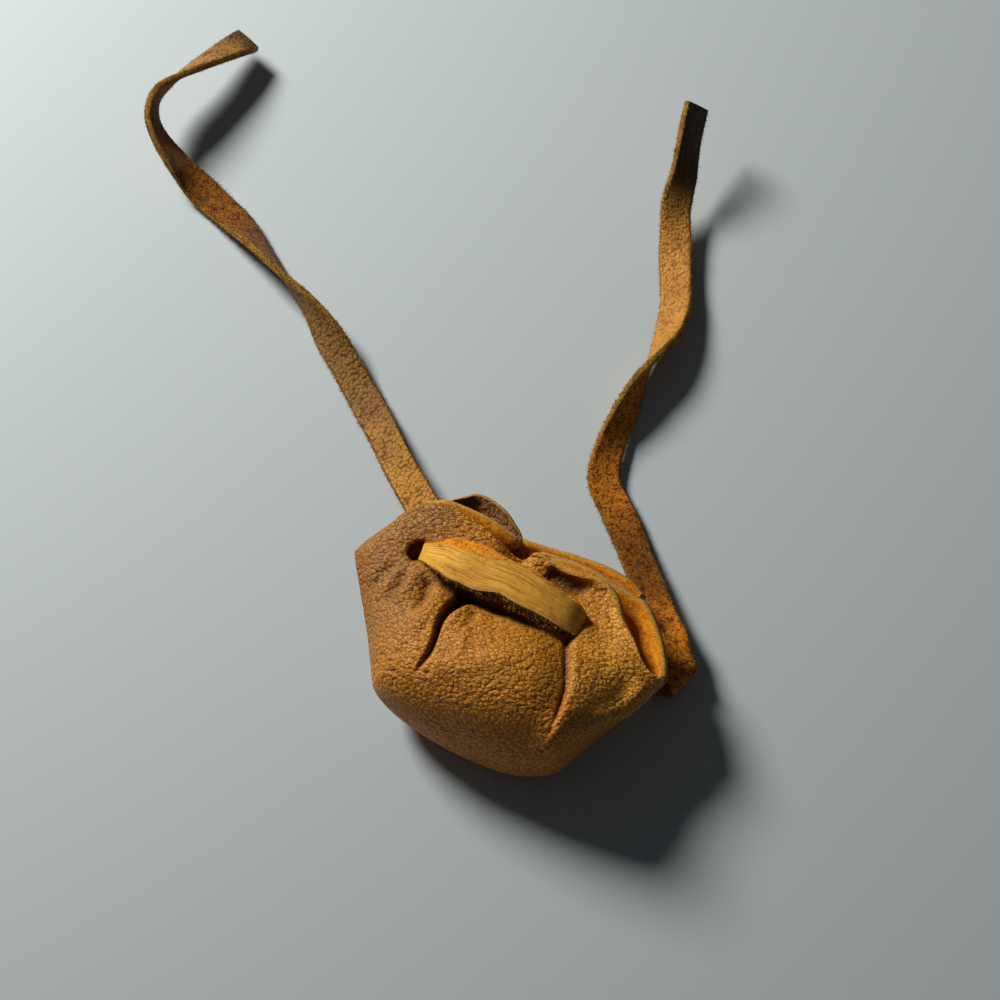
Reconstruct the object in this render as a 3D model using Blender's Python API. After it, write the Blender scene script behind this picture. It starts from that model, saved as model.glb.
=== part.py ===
# Small drawstring pouch: one disc of soft leather drawn up into a bag on one flat leather lace.
# It lies on its back: X runs across the mouth, +Y points out of the mouth and +Z up through the front.
# All sizes are in metres.

import bpy
import bmesh
import numpy as np
from mathutils import Vector
from mathutils.bvhtree import BVHTree

# Leather
LEATHER_THICKNESS = 0.0013
LACE_WIDTH = 0.0060
LACE_THICKNESS = 0.0013
SLIT_CLEARANCE = 0.0004      # between the lace and every slit or wall that it passes

# Pouch
POUCH_LENGTH = 0.0452        # from the closed bottom to the highest place on the rim
RIM_TOP = 0.02295             # the highest place on the rim lies this far from the middle
WALL_LENGTH = 0.0305         # from the bottom to the rim, on average
MOUTH_WIDTH = 0.0580         # across the two corners of the mouth
BOTTOM_LEFT = 0.0216         # the bottom reaches this far to the left of its lowest place
BOTTOM_RIGHT = 0.0085        # and this far to the right, before its corners round off
BOTTOM_OFFSET = 0.0070       # the lowest place lies this far to the right of the mouth's middle
BELLY_THICKNESS = 0.0216     # front to back at the fullest place
MOUTH_THICKNESS = 0.0168     # front to back across the collar, before it is drawn together
BOTTOM_HEIGHT = 0.0056       # the closed bottom edge over the table
LEFT_CORNER_ROUND = 0.0065   # length over which the left bottom corner closes
RIGHT_CORNER_ROUND = 0.0040  # and the right one
BOTTOM_ROUND = 0.0085        # length over which the bottom closes from front to back
SINK = 0.0024                # how far the round back is pressed flat where it lies
COLLAR_DEPTH = 0.0125        # the back wall starts to rise this far below its rim
LEFT_CORNER = (-0.0297, 0.00565, 0.0092)    # where the drawn mouth pulls the left corner to

# Wall lengths before the mouth is drawn together: across from the middle, and down from the highest place
FRONT_EDGE = (
    (-0.0290, 0.0167), (-0.0240, 0.0112), (-0.0194, 0.0060), (-0.0140, 0.0058),
    (-0.0018, 0.0090), (0.0139, 0.0102), (0.0232, 0.0184), (0.0290, 0.0223),
)
BACK_EDGE = (
    (-0.0290, 0.0167), (-0.0200, 0.0087), (-0.0130, 0.0000), (-0.0040, 0.0044),
    (0.0120, 0.0050), (0.0210, 0.0090), (0.0273, 0.0170), (0.0290, 0.0223),
)

# Rim of the drawn mouth, from left to right
FRONT_RIM = (
    (-0.0246, 0.01365, 0.0116), (-0.0230, 0.01385, 0.0143), (-0.0205, 0.01525, 0.0151), (-0.0176, 0.01615, 0.0158),
    (-0.0150, 0.01625, 0.0160), (-0.0121, 0.01545, 0.0160), (-0.0090, 0.01445, 0.0158), (-0.0059, 0.01335, 0.0154),
    (-0.0030, 0.01225, 0.0143), (-0.0006, 0.01205, 0.0137), (0.0019, 0.01295, 0.0148), (0.0045, 0.01175, 0.0153),
    (0.0096, 0.01135, 0.0154), (0.0145, 0.01125, 0.0154), (0.0183, 0.00715, 0.0152), (0.0219, 0.00405, 0.0148),
    (0.0256, 0.00035, 0.0144), (0.0280, -0.00035, 0.0140), (0.0292, 0.00045, 0.0124),
)
BACK_RIM = (
    (-0.0246, 0.01365, 0.0116), (-0.0234, 0.01645, 0.0102), (-0.0202, 0.01835, 0.0098), (-0.0163, 0.02005, 0.0098),
    (-0.0128, 0.02215, 0.0100), (-0.0101, 0.02185, 0.0100), (-0.0072, 0.02065, 0.0098), (-0.0040, 0.01835, 0.0092),
    (0.0003, 0.01765, 0.0084), (0.0065, 0.01785, 0.0082), (0.0125, 0.01765, 0.0086), (0.0167, 0.01675, 0.0094),
    (0.0208, 0.01445, 0.0104), (0.0248, 0.00965, 0.0116), (0.0280, 0.00445, 0.0118), (0.0292, 0.00045, 0.0124),
)

# How far the pleats, pressed together, stand in from the back of the rim: across, inwards and upwards
BACK_PLEATS = (
    (-0.0246, 0.0, 0.0), (-0.0225, 0.0012, 0.0016), (-0.0163, 0.0024, 0.0032), (-0.0128, 0.0042, 0.0031),
    (-0.0072, 0.0034, 0.0027), (-0.0040, 0.0016, 0.0014), (-0.0010, 0.0, 0.0), (0.0095, 0.0, 0.0),
    (0.0125, 0.0022, 0.0030), (0.0167, 0.0028, 0.0026), (0.0208, 0.0020, 0.0018), (0.0248, 0.0006, 0.0008),
    (0.0292, 0.0, 0.0),
)

# Folds pressed into the front: points across and down from the top, width and depth
FRONT_FOLDS = (
    {"line": ((-0.0064, 0.0195), (-0.0081, 0.0236), (-0.0093, 0.0285), (-0.0091, 0.0347)),
     "width": 0.0019, "depth": 0.0026},
    {"line": ((0.0116, 0.0221), (0.0130, 0.0275), (0.0145, 0.0330), (0.0140, 0.0405)),
     "width": 0.0020, "depth": 0.0013},
)

# Slits in the front, across from the middle and down from the top
LEFT_SLIT = (-0.0170, 0.0160)
RIGHT_SLIT = (0.0120, 0.0201)
BRIDGE_WIDTH = 0.0072        # the lace is cut wider here and lies spread out between the slits
SLIT_PINCH = 0.0020          # the lace is this much narrower where a slit squeezes it
BRIDGE_CROWN = 0.0010        # the lace's least rise over the leather between the slits

# Tails of the lace. Each comes straight out of its slit, and its inner end stays inside when it is pulled.
PULL_TRAVEL = 0.0080
LEFT_TAIL_HEIGHT = 0.0040
RIGHT_TAIL_HEIGHT = 0.0026
TAIL_CLEARANCE = 0.00025     # the loose part of each tail lies this far over the table
LEFT_SPARE = 0.0150          # what is left behind the tail's exit after a full pull, under the wall and inside it
RIGHT_SPARE = 0.0140         # and on the right
LEFT_EXIT = (-0.0218, RIM_TOP - 0.0043, LEFT_TAIL_HEIGHT)
LEFT_EXIT_DIRECTION = (-0.735, 0.678)
RIGHT_EXIT = (0.0275, RIM_TOP - 0.0193, RIGHT_TAIL_HEIGHT)
RIGHT_EXIT_DIRECTION = (1.0, 0.0)
RIGHT_FOLD_REACH = 0.0025    # the right tail starts to fold over onto itself this far from its exit
RIGHT_FOLD_LEAVES = (-0.66, 0.75)    # the way that its upper layer goes
FOLD_GAP = 0.0006            # between the two layers of the fold

# Free length of each tail: a point, across and along from the tail's exit and up from where the tail lies,
# and the way that the grain side of the lace faces there
LEFT_ROUTE = (
    ((-0.0080, 0.0077, 0.0033), (0.00, 0.00, 1.00)), ((-0.0134, 0.0132, 0.0021), (0.00, 0.00, 1.00)),
    ((-0.0189, 0.0187, 0.0008), (0.00, 0.00, 1.00)), ((-0.0252, 0.0242, 0.0015), (-0.27, -0.10, 0.96)),
    ((-0.0307, 0.0289, 0.0027), (-0.55, -0.47, 0.68)), ((-0.0357, 0.0325, 0.0032), (-0.68, -0.71, 0.18)),
    ((-0.0417, 0.0362, 0.0032), (-0.61, -0.75, -0.25)), ((-0.0487, 0.0410, 0.0028), (-0.44, -0.64, -0.63)),
    ((-0.0547, 0.0450, 0.0017), (-0.20, -0.27, -0.94)), ((-0.0617, 0.0485, 0.0008), (0.00, 0.00, -1.00)),
    ((-0.0667, 0.0509, 0.0018), (-0.18, -0.07, -0.98)), ((-0.0707, 0.0527, 0.0041), (-0.49, -0.39, -0.78)),
    ((-0.0747, 0.0550, 0.0062), (-0.74, -0.47, -0.48)), ((-0.0777, 0.0582, 0.0080), (-0.92, -0.34, -0.20)),
    ((-0.0787, 0.0630, 0.0088), (-0.96, 0.20, 0.21)), ((-0.0767, 0.0684, 0.0083), (-0.74, 0.35, 0.58)),
    ((-0.0737, 0.0747, 0.0069), (-0.53, 0.33, 0.78)), ((-0.0712, 0.0800, 0.0053), (-0.41, 0.27, 0.87)),
    ((-0.0694, 0.0840, 0.0039), (-0.41, 0.27, 0.87)),
)
RIGHT_ROUTE = (
    ((-0.0007, 0.0070, 0.0043), (0.00, 0.00, -1.00)), ((-0.0030, 0.0098, 0.0033), (0.00, 0.00, -1.00)),
    ((-0.0055, 0.0130, 0.0026), (0.00, 0.00, -1.00)), ((-0.0090, 0.0177, 0.0020), (0.00, 0.00, -1.00)),
    ((-0.0135, 0.0235, 0.0011), (0.00, 0.00, -1.00)), ((-0.0180, 0.0285, 0.0008), (0.00, 0.00, -1.00)),
    ((-0.0215, 0.0325, 0.0013), (-0.18, -0.07, -0.98)), ((-0.0225, 0.0375, 0.0020), (-0.44, 0.05, -0.90)),
    ((-0.0225, 0.0430, 0.0025), (-0.64, 0.07, -0.77)), ((-0.0220, 0.0487, 0.0031), (-0.87, 0.10, -0.49)),
    ((-0.0215, 0.0540, 0.0032), (-0.99, 0.07, -0.10)), ((-0.0205, 0.0595, 0.0031), (-0.92, -0.03, 0.39)),
    ((-0.0200, 0.0650, 0.0026), (-0.62, -0.02, 0.78)), ((-0.0205, 0.0710, 0.0020), (-0.41, -0.04, 0.91)),
    ((-0.0220, 0.0765, 0.0017), (-0.27, -0.10, 0.96)), ((-0.0239, 0.0815, 0.0018), (-0.18, -0.07, 0.98)),
    ((-0.0255, 0.0865, 0.0028), (0.00, 0.00, 1.00)), ((-0.0270, 0.0915, 0.0045), (0.33, -0.08, 0.94)),
    ((-0.0275, 0.0970, 0.0066), (0.64, -0.07, 0.77)), ((-0.0285, 0.1030, 0.0092), (0.74, -0.04, 0.68)),
    ((-0.0293, 0.1090, 0.0114), (0.74, -0.04, 0.68)),
)

# Mesh density
POINTS_AROUND = 84
RINGS_UP = 22
STEPS_PER_SPAN = 3

UP = np.array((0.0, 0.0, 1.0))
GRAIN_COLOUR = (0.50, 0.27, 0.075, 1.0)
LACE_COLOUR = (0.56, 0.30, 0.085, 1.0)


def smooth_step(value):
    share = np.clip(value, 0.0, 1.0)
    return share * share * (3.0 - 2.0 * share)


def smooth_curve(points, steps):
    """Catmull-Rom curve through the points, with the given steps in each span."""
    given = np.asarray(points, float)
    ends = np.vstack([2 * given[0] - given[1], given, 2 * given[-1] - given[-2]])
    share = np.linspace(0.0, 1.0, steps, endpoint=False)[:, None]
    spans = []
    for before, start, end, after in zip(ends[:-3], ends[1:-2], ends[2:-1], ends[3:]):
        spans.append(0.5 * (2 * start + (end - before) * share
                            + (2 * before - 5 * start + 4 * end - after) * share ** 2
                            + (3 * start - 3 * end + after - before) * share ** 3))
    return np.vstack(spans + [given[-1:]])


def wall_length(edge, across):
    """Distance from the bottom to the edge of the leather, at each place across the mouth."""
    line = smooth_curve(edge, 8)
    return POUCH_LENGTH - np.interp(across, line[:, 0], line[:, 1])


def rim_places(rim, turn):
    """Points on one half of the drawn rim, for turns from a half turn at its left end to zero at its right end."""
    line = smooth_curve(rim, 8)
    steps = np.linalg.norm(np.diff(line, axis=0), axis=1)
    share = np.concatenate([[0.0], np.cumsum(steps)]) / steps.sum()
    across = np.clip(line[:, 0] / (MOUTH_WIDTH / 2), -1.0, 1.0)
    angle = (np.pi * (1 - share) + np.arccos(across)) / 2
    angle = np.pi * (angle - angle[-1]) / (angle[0] - angle[-1])
    return np.stack([np.interp(turn, angle[::-1], line[::-1, axis]) for axis in range(3)], axis=-1)


def distance_to_line(across, down, line):
    """Distance to a curve on the front, and how far along it the nearest point is, from 0 to 1."""
    curve = smooth_curve(line, 12)
    gaps = np.hypot(across[..., None] - curve[:, 0], down[..., None] - curve[:, 1])
    return gaps.min(axis=-1), gaps.argmin(axis=-1) / (len(curve) - 1)


def belly_surface(turn, share, inset):
    """One face of the leather before the mouth is drawn together, this far inside its outer face."""
    squareness = 0.87 - 0.25 * smooth_step((np.cos(turn) - 0.2) / 0.5) * (np.sin(turn) > 0)
    side = np.sign(np.cos(turn)) * np.abs(np.cos(turn)) ** squareness
    front = np.sign(np.sin(turn)) * np.abs(np.sin(turn)) ** squareness
    edge = MOUTH_WIDTH / 2 * side
    length = np.where(front >= 0, wall_length(FRONT_EDGE, edge), wall_length(BACK_EDGE, edge))
    up = inset + share * (length - inset)

    # Outline seen from the front, and thickness seen from the side. Both close at the bottom in a round.
    corner_round = np.where(side < 0, LEFT_CORNER_ROUND, RIGHT_CORNER_ROUND)
    corner_close = np.sqrt(1 - (1 - np.clip(share * WALL_LENGTH / corner_round, 0, 1)) ** 2)
    bottom_close = np.sqrt(1 - (1 - np.clip(share * WALL_LENGTH / BOTTOM_ROUND, 0, 1)) ** 2)
    bottom_half = np.where(side < 0, BOTTOM_LEFT, BOTTOM_RIGHT)
    half_width = bottom_half + (MOUTH_WIDTH / 2 - bottom_half) * share
    across = BOTTOM_OFFSET * (1 - share) + (half_width - inset) * corner_close * side
    narrowing = smooth_step((share - 0.3) / 0.5)
    thickness = BELLY_THICKNESS + (MOUTH_THICKNESS - BELLY_THICKNESS) * narrowing
    front_height = BOTTOM_HEIGHT + (thickness - inset - BOTTOM_HEIGHT) * bottom_close
    back_height = BOTTOM_HEIGHT - (BOTTOM_HEIGHT + SINK - inset) * bottom_close
    height = (front_height + back_height) / 2 + (front_height - back_height) / 2 * front

    # The part that the pouch lies on is pressed flat.
    soft = SINK / 3
    above = height - inset
    height = inset + np.where(above > soft, above, (np.clip(above, -soft, soft) + soft) ** 2 / (4 * soft))
    return np.stack(np.broadcast_arrays(across, up + RIM_TOP - POUCH_LENGTH, height), axis=-1)


def pouch_surface(inset):
    """One face of the leather, this far inside its outer face: rings of points from the bottom to the rim."""
    turn = np.linspace(0.0, 2 * np.pi, POINTS_AROUND, endpoint=False)[None, :]
    share = (np.linspace(0.0, 1.0, RINGS_UP) ** 1.4)[:, None]
    belly = belly_surface(turn, share, inset)

    # The left corner and the rim are drawn to their places. Inside, the rim lies one thickness further in, and
    # further where the pleats are.
    front = np.sin(turn) >= 0
    rim = np.where(front[..., None], rim_places(FRONT_RIM, turn), rim_places(BACK_RIM, 2 * np.pi - turn))
    back = np.clip(-np.sin(turn), 0, 1)
    inwards = np.stack([-np.cos(turn), -0.8 * back, 0.6 * back - np.clip(np.sin(turn), 0, 1)], axis=-1)
    pleat_at, pleat_in, pleat_up = np.array(BACK_PLEATS).T
    pleats = np.stack([
        np.zeros_like(turn), -np.interp(rim[..., 0], pleat_at, pleat_in), np.interp(rim[..., 0], pleat_at, pleat_up),
    ], axis=-1)
    pleats = np.where(front[..., None], 0.0, pleats) * min(inset / LEATHER_THICKNESS, 1.0)
    leftness = (np.clip(-np.cos(turn), 0, 1) ** 5)[..., None]
    left_edge = belly_surface(np.array([[np.pi]]), np.array([[0.8]]), 0.0)
    to_corner = leftness * (np.array(LEFT_CORNER) - left_edge)
    drawn = belly_surface(turn, np.ones((1, 1)), inset)
    to_rim = rim + inset * unit(inwards) + pleats - drawn - to_corner
    early = smooth_step((share - 0.45) / 0.35)[..., None]
    front_late = smooth_step((share - 0.40) / 0.75) / smooth_step(0.8)
    back_late = np.clip(1 - (drawn[..., 1] - belly[..., 1]) / COLLAR_DEPTH, 0, 1) ** 1.5
    backness = smooth_step(back * 2.5)
    late = (front_late * (1 - backness) + back_late * backness)[..., None]
    left_late = (np.clip((share - 0.78) / 0.22, 0, 1) ** 1.25)[..., None]
    surface = belly + early * to_corner + ((1 - leftness) * late + leftness * left_late) * to_rim

    # Folds in the front wall
    facing = np.clip(np.sin(turn) * 3, 0, 1)
    for fold in FRONT_FOLDS:
        gap, along = distance_to_line(surface[..., 0], RIM_TOP - surface[..., 1], fold["line"])
        fade = smooth_step(along * 5) * smooth_step((1 - along) * 2.5)
        surface[..., 2] -= fold["depth"] * np.exp(-(gap / fold["width"]) ** 2) * fade * facing
    return surface


def leather_material(name, colour, roughness):
    material = bpy.data.materials.new(name)
    material.use_nodes = True
    shader = material.node_tree.nodes["Principled BSDF"]
    shader.inputs["Base Color"].default_value = colour
    shader.inputs["Roughness"].default_value = roughness
    shader.inputs["Metallic"].default_value = 0.0
    return material


def add_object(name, vertices, faces, material):
    mesh = bpy.data.meshes.new(name)
    mesh.from_pydata([tuple(vertex) for vertex in vertices], [], faces)
    shape = bmesh.new()
    shape.from_mesh(mesh)
    bmesh.ops.recalc_face_normals(shape, faces=shape.faces)
    shape.to_mesh(mesh)
    shape.free()
    mesh.materials.append(material)
    mesh.shade_smooth()
    mesh.set_sharp_from_angle(angle=0.7)
    made = bpy.data.objects.new(name, mesh)
    bpy.context.collection.objects.link(made)
    return made


def skin_faces(first, rings, count):
    """Faces of one wall: a fan round its bottom point, whose index is first, then bands of quads."""
    faces = []
    for i in range(count):
        faces.append((first, first + 1 + i, first + 1 + (i + 1) % count))
    for ring in range(rings - 2):
        start = first + 1 + ring * count
        for i in range(count):
            j = (i + 1) % count
            faces.append((start + i, start + count + i, start + count + j, start + j))
    return faces


def pouch_body(material):
    vertices = []
    for wall in (pouch_surface(0.0), pouch_surface(LEATHER_THICKNESS)):
        vertices.append(wall[0, 0])
        vertices.extend(wall[1:].reshape(-1, 3))
    wall_size = 1 + (RINGS_UP - 1) * POINTS_AROUND
    faces = skin_faces(0, RINGS_UP, POINTS_AROUND) + skin_faces(wall_size, RINGS_UP, POINTS_AROUND)
    outer_rim = wall_size - POINTS_AROUND
    for i in range(POINTS_AROUND):
        j = (i + 1) % POINTS_AROUND
        faces.append((outer_rim + i, outer_rim + j, outer_rim + wall_size + j, outer_rim + wall_size + i))
    return add_object("pouch_body", vertices, faces, material)


def top_heights(body):
    """A function that gives the height of the pouch's front at a place, or None beside it."""
    mesh = body.data
    tree = BVHTree.FromPolygons([v.co for v in mesh.vertices], [tuple(p.vertices) for p in mesh.polygons])

    def height_at(across, along):
        hit = tree.ray_cast(Vector((across, along, 1.0)), Vector((0, 0, -1)))[0]
        return hit.z if hit else None

    return height_at


def unit(vectors):
    given = np.asarray(vectors, float)
    return given / np.linalg.norm(given, axis=-1, keepdims=True)


def strip_sections(points, facings, widths):
    """Centres, grain directions and half widths of the sections of a strip along a smooth curve."""
    centre = smooth_curve(points, STEPS_PER_SPAN)
    facing = smooth_curve(facings, STEPS_PER_SPAN)
    width = smooth_curve(np.asarray(widths)[:, None], STEPS_PER_SPAN)
    tangent = unit(np.gradient(centre, axis=0))
    facing = unit(facing - (facing * tangent).sum(axis=1, keepdims=True) * tangent)
    return centre, facing, np.cross(tangent, facing) * width / 2


def fold_sections(start, way, leaves):
    """Sections of a strip that turns over on a slanting crease and lies back on itself, grain inside."""
    crease = unit(way + leaves)
    cosine = float(way @ crease)
    outward = unit(way - cosine * crease)
    sine = float(way @ outward)
    radius = (LACE_THICKNESS + FOLD_GAP) / 2
    angle = np.linspace(0.0, np.pi, 9)[:, None]
    centre = start + crease * radius * angle * cosine / sine
    centre = centre + radius * (np.sin(angle) * outward + (1 - np.cos(angle)) * UP)
    facing = np.cos(angle) * UP - np.sin(angle) * outward
    sideways = np.cross(way, UP)
    slanting = crease * np.sign(crease @ sideways) * LACE_WIDTH / 2 / sine
    return centre, facing, np.broadcast_to(slanting, centre.shape)


def ribbon(name, sections, clearance, material):
    """A flat strip with square edges through the given sections, larger all round by the clearance."""
    centre, facing, sideways = sections
    sideways = sideways + unit(sideways) * clearance
    out = facing * (LACE_THICKNESS / 2 + clearance)
    below = centre - out
    above = centre + out
    corners = (below - sideways, below + sideways, above + sideways, above - sideways)
    vertices = np.stack(corners, axis=1).reshape(-1, 3)
    faces = [(0, 1, 2, 3)]
    for start in range(0, len(vertices) - 4, 4):
        for i in range(4):
            j = (i + 1) % 4
            faces.append((start + i, start + j, start + 4 + j, start + 4 + i))
    last = len(vertices) - 4
    faces.append((last, last + 3, last + 2, last + 1))
    return add_object(name, vertices, faces, material)


def cut_slit(body, name, sections, material):
    """Cuts the way of a lace, with its clearance all round, out of the pouch."""
    cutter = ribbon(name, sections, SLIT_CLEARANCE, material)
    cutter.hide_render = True
    cutter.display_type = "WIRE"
    cut = body.modifiers.new(name, "BOOLEAN")
    cut.operation = "DIFFERENCE"
    cut.solver = "EXACT"
    cut.object = cutter


def straight_start(exit_point, direction, spare):
    """The straight part of a tail: its inner end, its place just outside the pouch, and its direction."""
    way = unit((direction[0], direction[1], 0.0))
    outside = np.array(exit_point)
    return outside - (PULL_TRAVEL + spare) * way, outside, way


def joined(*parts):
    return tuple(np.vstack(columns) for columns in zip(*parts))


def free_sections(before, exit_point, route):
    points = list(before)
    for (x, y, z), _ in route:
        points.append((exit_point[0] + x, exit_point[1] + y, z + TAIL_CLEARANCE))
    facings = [route[0][1]] * len(before) + [facing for _, facing in route]
    return strip_sections(points, facings, [LACE_WIDTH] * len(points))


def tail_slit(name, body, start, material):
    inner, outside, way = start
    ends = [inner - SLIT_CLEARANCE * way, (inner + outside) / 2, outside + PULL_TRAVEL * way]
    cut_slit(body, name, strip_sections(ends, [UP] * 3, [LACE_WIDTH] * 3), material)


def lace_tail_left(body, material):
    start = straight_start(LEFT_EXIT, LEFT_EXIT_DIRECTION, LEFT_SPARE)
    inner, outside, _ = start
    tail_slit("left_tail_slit", body, start, material)
    sections = free_sections([inner, (inner + outside) / 2, outside], LEFT_EXIT, LEFT_ROUTE)
    return ribbon("lace_tail_left", sections, 0.0, material)


def lace_tail_right(body, material):
    start = straight_start(RIGHT_EXIT, RIGHT_EXIT_DIRECTION, RIGHT_SPARE)
    inner, outside, way = start
    tail_slit("right_tail_slit", body, start, material)
    leaves = unit((RIGHT_FOLD_LEAVES[0], RIGHT_FOLD_LEAVES[1], 0.0))
    fold = fold_sections(outside + RIGHT_FOLD_REACH * way, way, leaves)
    lower = strip_sections([inner, (inner + outside) / 2, outside], [UP] * 3, [LACE_WIDTH] * 3)
    top = fold[0][-1]
    upper = free_sections([top + 0.5 * LACE_WIDTH * leaves], RIGHT_EXIT, RIGHT_ROUTE)
    return ribbon("lace_tail_right", joined(lower, fold, upper), 0.0, material)


def lace_bridge(body, material):
    """The threaded part of the lace: out of one front slit, over the gathered leather and in at the other."""
    height_at = top_heights(body)
    left = np.array((LEFT_SLIT[0], RIM_TOP - LEFT_SLIT[1]))
    right = np.array((RIGHT_SLIT[0], RIM_TOP - RIGHT_SLIT[1]))
    left_height = height_at(*left) - LEATHER_THICKNESS / 2
    right_height = height_at(*right) - LEATHER_THICKNESS / 2

    # Between the slits the lace lies taut over the highest leather that is under it.
    sideways = np.array((left[1] - right[1], right[0] - left[0]))
    sideways = unit(sideways) * BRIDGE_WIDTH / 2
    points = []
    for share in np.linspace(0.2, 0.8, 4):
        place = left + (right - left) * share
        ground = max(height_at(*(place + offset * sideways)) for offset in (-1.0, 0.0, 1.0))
        points.append((place[0], place[1], ground))
    highest = max(point[2] for point in points)
    over = [(x, y, (ground + highest + LACE_THICKNESS) / 2 + BRIDGE_CROWN) for x, y, ground in points]

    # Inside, each end comes down to the inner part of its tail.
    left_inner, _, left_way = straight_start(LEFT_EXIT, LEFT_EXIT_DIRECTION, LEFT_SPARE)
    right_inner, _, right_way = straight_start(RIGHT_EXIT, RIGHT_EXIT_DIRECTION, RIGHT_SPARE)
    above_tail = UP * (LACE_THICKNESS * 1.6 + SLIT_CLEARANCE)
    left_end = left_inner + LACE_WIDTH / 2 * left_way + above_tail
    right_end = right_inner + LACE_WIDTH / 2 * right_way + above_tail
    left_top = np.array((left[0], left[1], left_height))
    right_top = np.array((right[0], right[1], right_height))
    dive = np.array((0.0, 0.0, LACE_WIDTH / 2))
    left_way_in = [left_end, (left_end + left_top - dive) / 2, left_top - dive, left_top]
    right_way_in = [right_top, right_top - dive, (right_end + right_top - dive) / 2, right_end]
    left_facings = [(-0.8, 0.0, -0.6), (-0.8, 0.0, -0.6), (-1.0, 0.0, -0.1), (-0.85, 0.0, 0.5)]
    right_facings = [(0.85, 0.0, 0.5), (1.0, 0.0, 0.1), (0.9, 0.0, 0.4), (0.9, 0.0, 0.4)]
    narrow = LACE_WIDTH - SLIT_PINCH
    widths = [LACE_WIDTH] * 2 + [narrow] * 2 + [BRIDGE_WIDTH] * len(over) + [narrow] * 2 + [LACE_WIDTH] * 2
    facings = left_facings + [UP] * len(over) + right_facings
    sections = strip_sections(left_way_in + over + right_way_in, facings, widths)
    cut_slit(body, "bridge_slits", sections, material)
    return ribbon("lace_bridge", sections, 0.0, material)


def main():
    for thing in list(bpy.data.objects):
        bpy.data.objects.remove(thing, do_unlink=True)
    grain = leather_material("tan_grain", GRAIN_COLOUR, 0.62)
    lace = leather_material("lace_leather", LACE_COLOUR, 0.68)
    body = pouch_body(grain)
    lace_bridge(body, lace)
    lace_tail_left(body, lace)
    lace_tail_right(body, lace)


main()
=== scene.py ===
import bpy
import numpy as np
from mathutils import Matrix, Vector


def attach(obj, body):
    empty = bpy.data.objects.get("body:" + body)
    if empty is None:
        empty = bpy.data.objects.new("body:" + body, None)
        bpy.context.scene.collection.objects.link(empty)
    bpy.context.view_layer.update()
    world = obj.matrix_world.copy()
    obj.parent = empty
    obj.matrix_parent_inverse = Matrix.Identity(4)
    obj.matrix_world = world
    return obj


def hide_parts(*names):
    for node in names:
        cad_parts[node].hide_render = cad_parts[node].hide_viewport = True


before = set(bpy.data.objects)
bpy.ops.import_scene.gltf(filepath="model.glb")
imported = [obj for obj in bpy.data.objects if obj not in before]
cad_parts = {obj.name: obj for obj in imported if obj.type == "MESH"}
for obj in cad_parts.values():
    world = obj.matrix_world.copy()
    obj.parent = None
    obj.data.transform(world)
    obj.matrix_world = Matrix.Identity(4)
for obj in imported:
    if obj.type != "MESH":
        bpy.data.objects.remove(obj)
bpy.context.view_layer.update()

mm = 0.001
up = np.array((0.0, 0.0, 1.0))
scene = bpy.context.scene
scene.view_settings.view_transform = "Standard"

# Camera: metres and degrees, with its lens and sensor in millimetres.
view = {
    "target": (-0.0105, 0.0271, 0.0), "azimuth": 20.0, "elevation": 65.0, "distance": 0.380,
    "lens": 76.0, "sensor": 36.0, "clipStart": 0.01,
}
studio = {
    "lampDirection": (-0.742, 0.346, 0.574), "lampDistance": 0.62, "lampSize": 0.20, "lampPower": 5.2,
    "lampColour": (1.0, 0.985, 0.96), "skyColour": (0.86, 0.92, 1.0), "skyLevel": 0.045,
    "tableColour": (0.47, 0.524, 0.53), "tableRoughness": 0.7, "tableSize": 1.6,
}


def aim(thing, place, target):
    thing.location = place
    thing.rotation_euler = (Vector(target) - Vector(place)).to_track_quat("-Z", "Y").to_euler()
    scene.collection.objects.link(thing)


def makeCamera():
    lens = bpy.data.cameras.new("camera")
    lens.lens = view["lens"]
    lens.sensor_width = view["sensor"]
    lens.clip_start = view["clipStart"]
    turn = np.radians(view["azimuth"])
    lift = np.radians(view["elevation"])
    away = np.array((np.sin(turn) * np.cos(lift), -np.cos(turn) * np.cos(lift), np.sin(lift)))
    camera = bpy.data.objects.new("camera", lens)
    aim(camera, np.array(view["target"]) + view["distance"] * away, view["target"])
    scene.camera = camera


def makeLight():
    lamp = bpy.data.lights.new("window", "AREA")
    lamp.shape = "DISK"
    lamp.size = studio["lampSize"]
    lamp.energy = studio["lampPower"]
    lamp.color = studio["lampColour"]
    place = np.array(view["target"]) + studio["lampDistance"] * np.array(studio["lampDirection"])
    aim(bpy.data.objects.new("window", lamp), place, view["target"])
    world = bpy.data.worlds.new("room")
    world.use_nodes = True
    sky = world.node_tree.nodes["Background"]
    sky.inputs["Color"].default_value = (*studio["skyColour"], 1.0)
    sky.inputs["Strength"].default_value = studio["skyLevel"]
    scene.world = world


def makeTable():
    half = studio["tableSize"] / 2
    corners = [(-half, -half, 0), (half, -half, 0), (half, half, 0), (-half, half, 0)]
    mesh = bpy.data.meshes.new("table")
    mesh.from_pydata(corners, [], [(0, 1, 2, 3)])
    material = bpy.data.materials.new("tablePaint")
    material.use_nodes = True
    shader = material.node_tree.nodes["Principled BSDF"]
    shader.inputs["Base Color"].default_value = (*studio["tableColour"], 1.0)
    shader.inputs["Roughness"].default_value = studio["tableRoughness"]
    mesh.materials.append(material)
    table = bpy.data.objects.new("table", mesh)
    scene.collection.objects.link(table)


makeCamera()
makeLight()
makeTable()
print("camera, lamp and table placed")


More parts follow.
